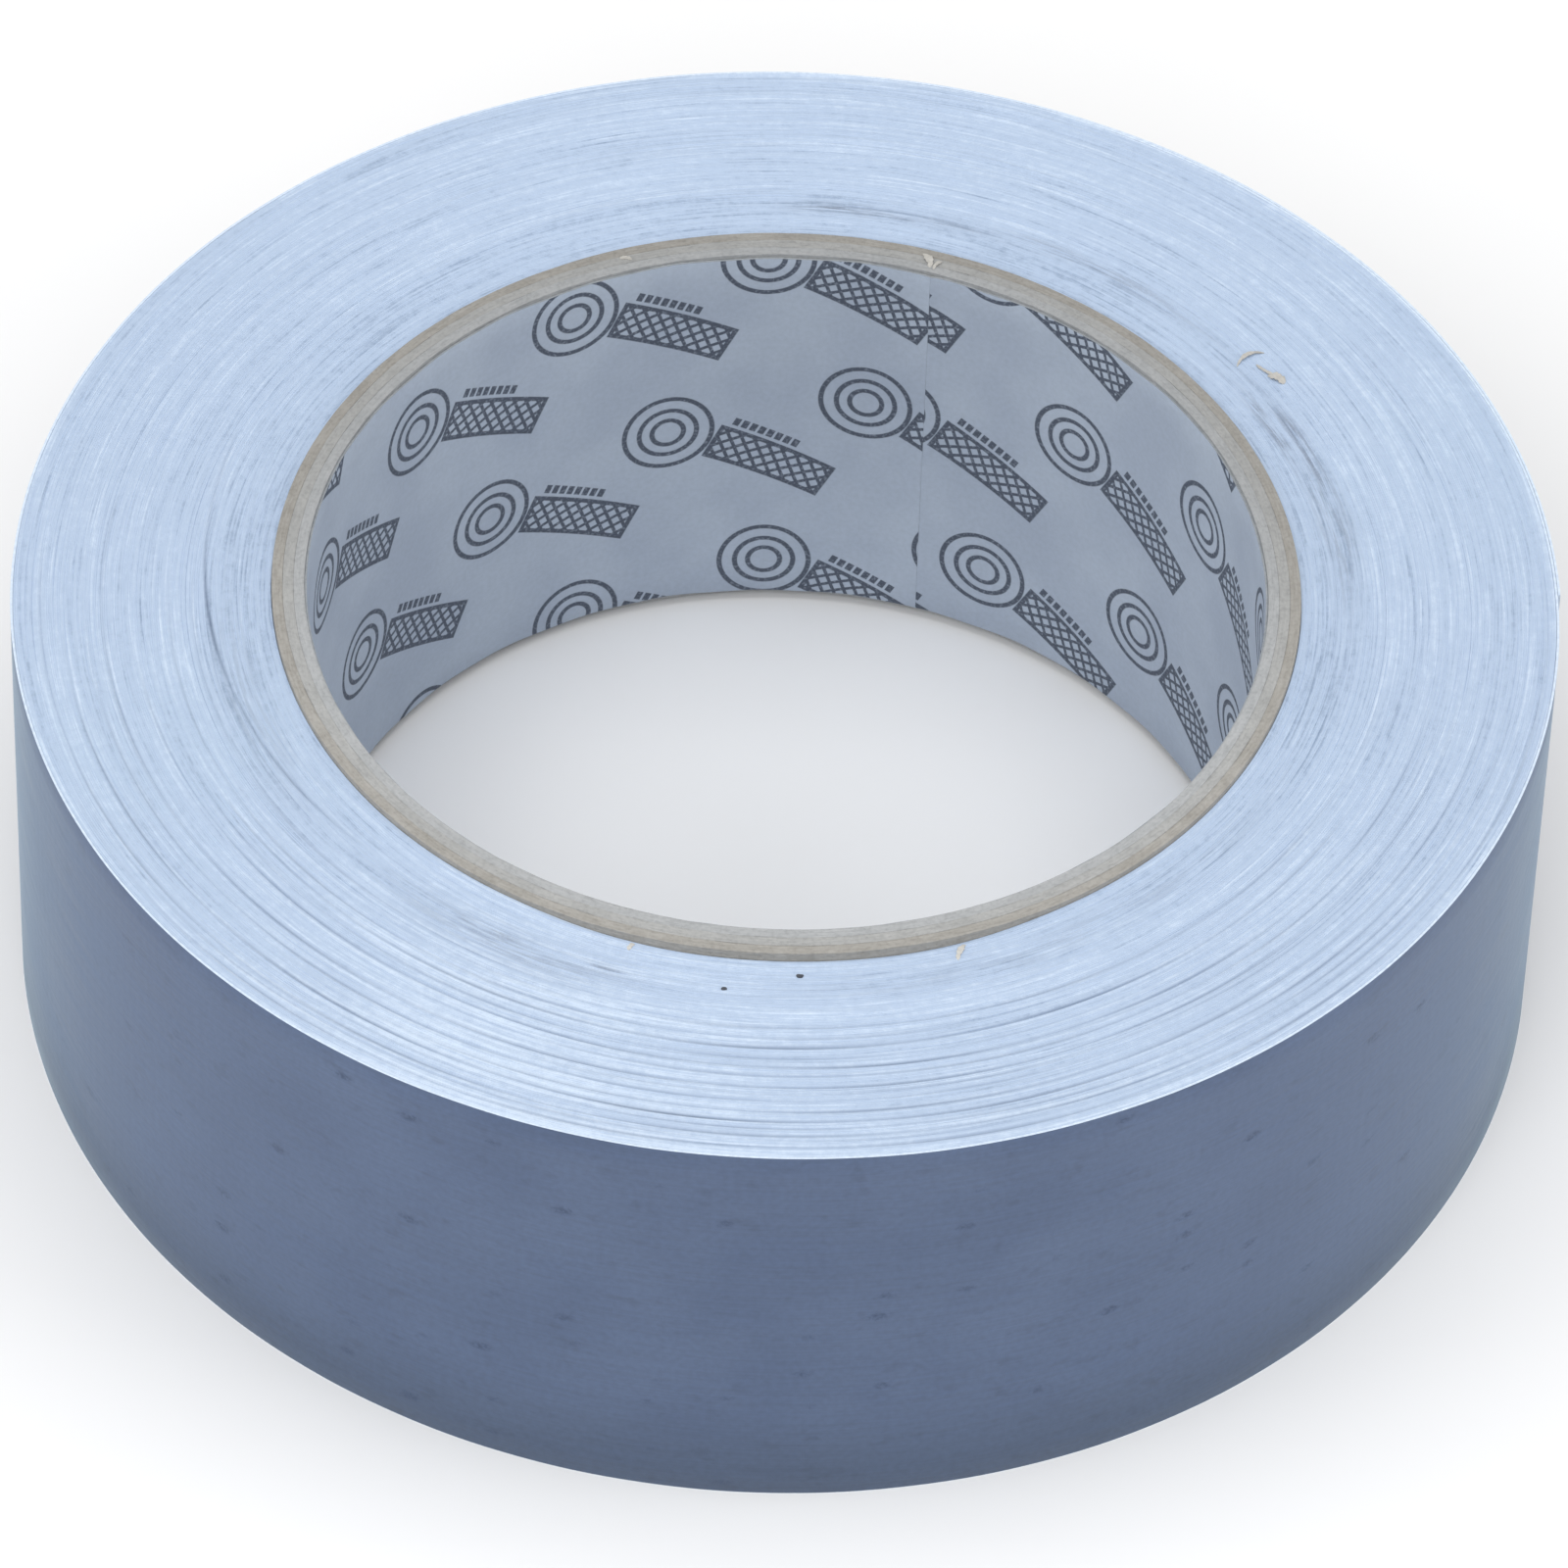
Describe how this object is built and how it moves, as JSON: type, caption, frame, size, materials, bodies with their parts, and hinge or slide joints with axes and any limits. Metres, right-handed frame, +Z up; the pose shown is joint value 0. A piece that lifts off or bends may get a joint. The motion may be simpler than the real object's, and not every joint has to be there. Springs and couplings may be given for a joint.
{
  "type": "duct tape roll",
  "caption": "Roll of cloth-backed adhesive tape wound on a paperboard core, with a free end that peels away from the roll.",
  "frame": {"origin": "on the roll's axis, in the plane of the lower side face that the roll lies on", "axes": "+Z up along the roll's axis; +X towards the side where the free end of the tape lies"},
  "size_m": [0.1229, 0.1229, 0.0393],
  "materials": {
    "liner_paper": "matte",
    "grey_board": "matte",
    "plain_board": "matte",
    "kraft_board": "matte",
    "tape_edges": "satin",
    "tape_film": "satin"
  },
  "bodies": {
    "roll": {"core_liner": "liner_paper", "core_board_inner": "grey_board", "core_board_middle": "plain_board", "core_board_outer": "kraft_board", "tape_winding": "tape_edges", "tape_outer_turn": "tape_film"},
    "tail_1": {"tape_tail_1": "tape_film"},
    "tail_2": {"tape_tail_2": "tape_film"},
    "tail_3": {"tape_tail_3": "tape_film"},
    "tail_4": {"tape_tail_4": "tape_film"},
    "tail_5": {"tape_tail_5": "tape_film"},
    "tail_6": {"tape_tail_6": "tape_film"},
    "tail_7": {"tape_tail_7": "tape_film"},
    "tail_8": {"tape_tail_8": "tape_film"}
  },
  "joints": [
    {"name": "peel", "type": "hinge", "parent": "roll", "child": "tail_1", "pos_m": [0.02182, 0.05739, 0], "axis": [0, 0, 1], "range_deg": [0, 90]},
    {"name": "unbend_2", "type": "hinge", "parent": "tail_1", "child": "tail_2", "pos_m": [0.02996, 0.05359, 0], "axis": [0, 0, 1], "range_deg": [0, 8.4]},
    {"name": "unbend_3", "type": "hinge", "parent": "tail_2", "child": "tail_3", "pos_m": [0.03747, 0.04864, 0], "axis": [0, 0, 1], "range_deg": [0, 8.4]},
    {"name": "unbend_4", "type": "hinge", "parent": "tail_3", "child": "tail_4", "pos_m": [0.04417, 0.04265, 0], "axis": [0, 0, 1], "range_deg": [0, 8.4]},
    {"name": "unbend_5", "type": "hinge", "parent": "tail_4", "child": "tail_5", "pos_m": [0.04993, 0.03574, 0], "axis": [0, 0, 1], "range_deg": [0, 8.4]},
    {"name": "unbend_6", "type": "hinge", "parent": "tail_5", "child": "tail_6", "pos_m": [0.05461, 0.02806, 0], "axis": [0, 0, 1], "range_deg": [0, 8.4]},
    {"name": "unbend_7", "type": "hinge", "parent": "tail_6", "child": "tail_7", "pos_m": [0.05813, 0.01978, 0], "axis": [0, 0, 1], "range_deg": [0, 8.4]},
    {"name": "unbend_8", "type": "hinge", "parent": "tail_7", "child": "tail_8", "pos_m": [0.06039, 0.01108, 0], "axis": [0, 0, 1], "range_deg": [0, 8.4]}
  ],
  "couplings": [
    {"joint": "unbend_2", "follows": "peel", "ratio": 0.0933},
    {"joint": "unbend_3", "follows": "peel", "ratio": 0.0933},
    {"joint": "unbend_4", "follows": "peel", "ratio": 0.0933},
    {"joint": "unbend_5", "follows": "peel", "ratio": 0.0933},
    {"joint": "unbend_6", "follows": "peel", "ratio": 0.0933},
    {"joint": "unbend_7", "follows": "peel", "ratio": 0.0933},
    {"joint": "unbend_8", "follows": "peel", "ratio": 0.0933}
  ]
}
